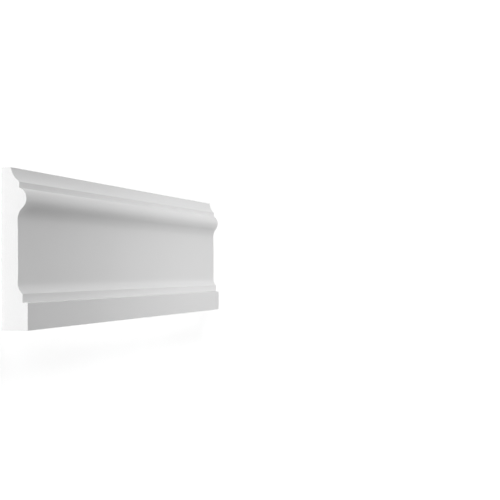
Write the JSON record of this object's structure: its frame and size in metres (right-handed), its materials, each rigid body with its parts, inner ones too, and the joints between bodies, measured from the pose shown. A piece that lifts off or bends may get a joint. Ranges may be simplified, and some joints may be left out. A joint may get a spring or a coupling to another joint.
{
  "type": "panel moulding",
  "caption": "Straight length of wide, flat-backed wall moulding with plinth, field, bead and cavetto, cut square at one end and mitred for an inside corner at the other.",
  "frame": {"origin": "on the back's plane, under the middle of the length and of the width", "axes": "+X along the length from the square end to the mitred end, +Y across the width from the plinth edge to the thin edge, +Z out of the moulded face"},
  "size_m": [0.75, 0.12, 0.02],
  "materials": {
    "primed_white": "factory-primed matt white on rigid moulded foam, cut ends the same white"
  },
  "bodies": {
    "root": {"panel_moulding": "primed_white"}
  },
  "joints": []
}
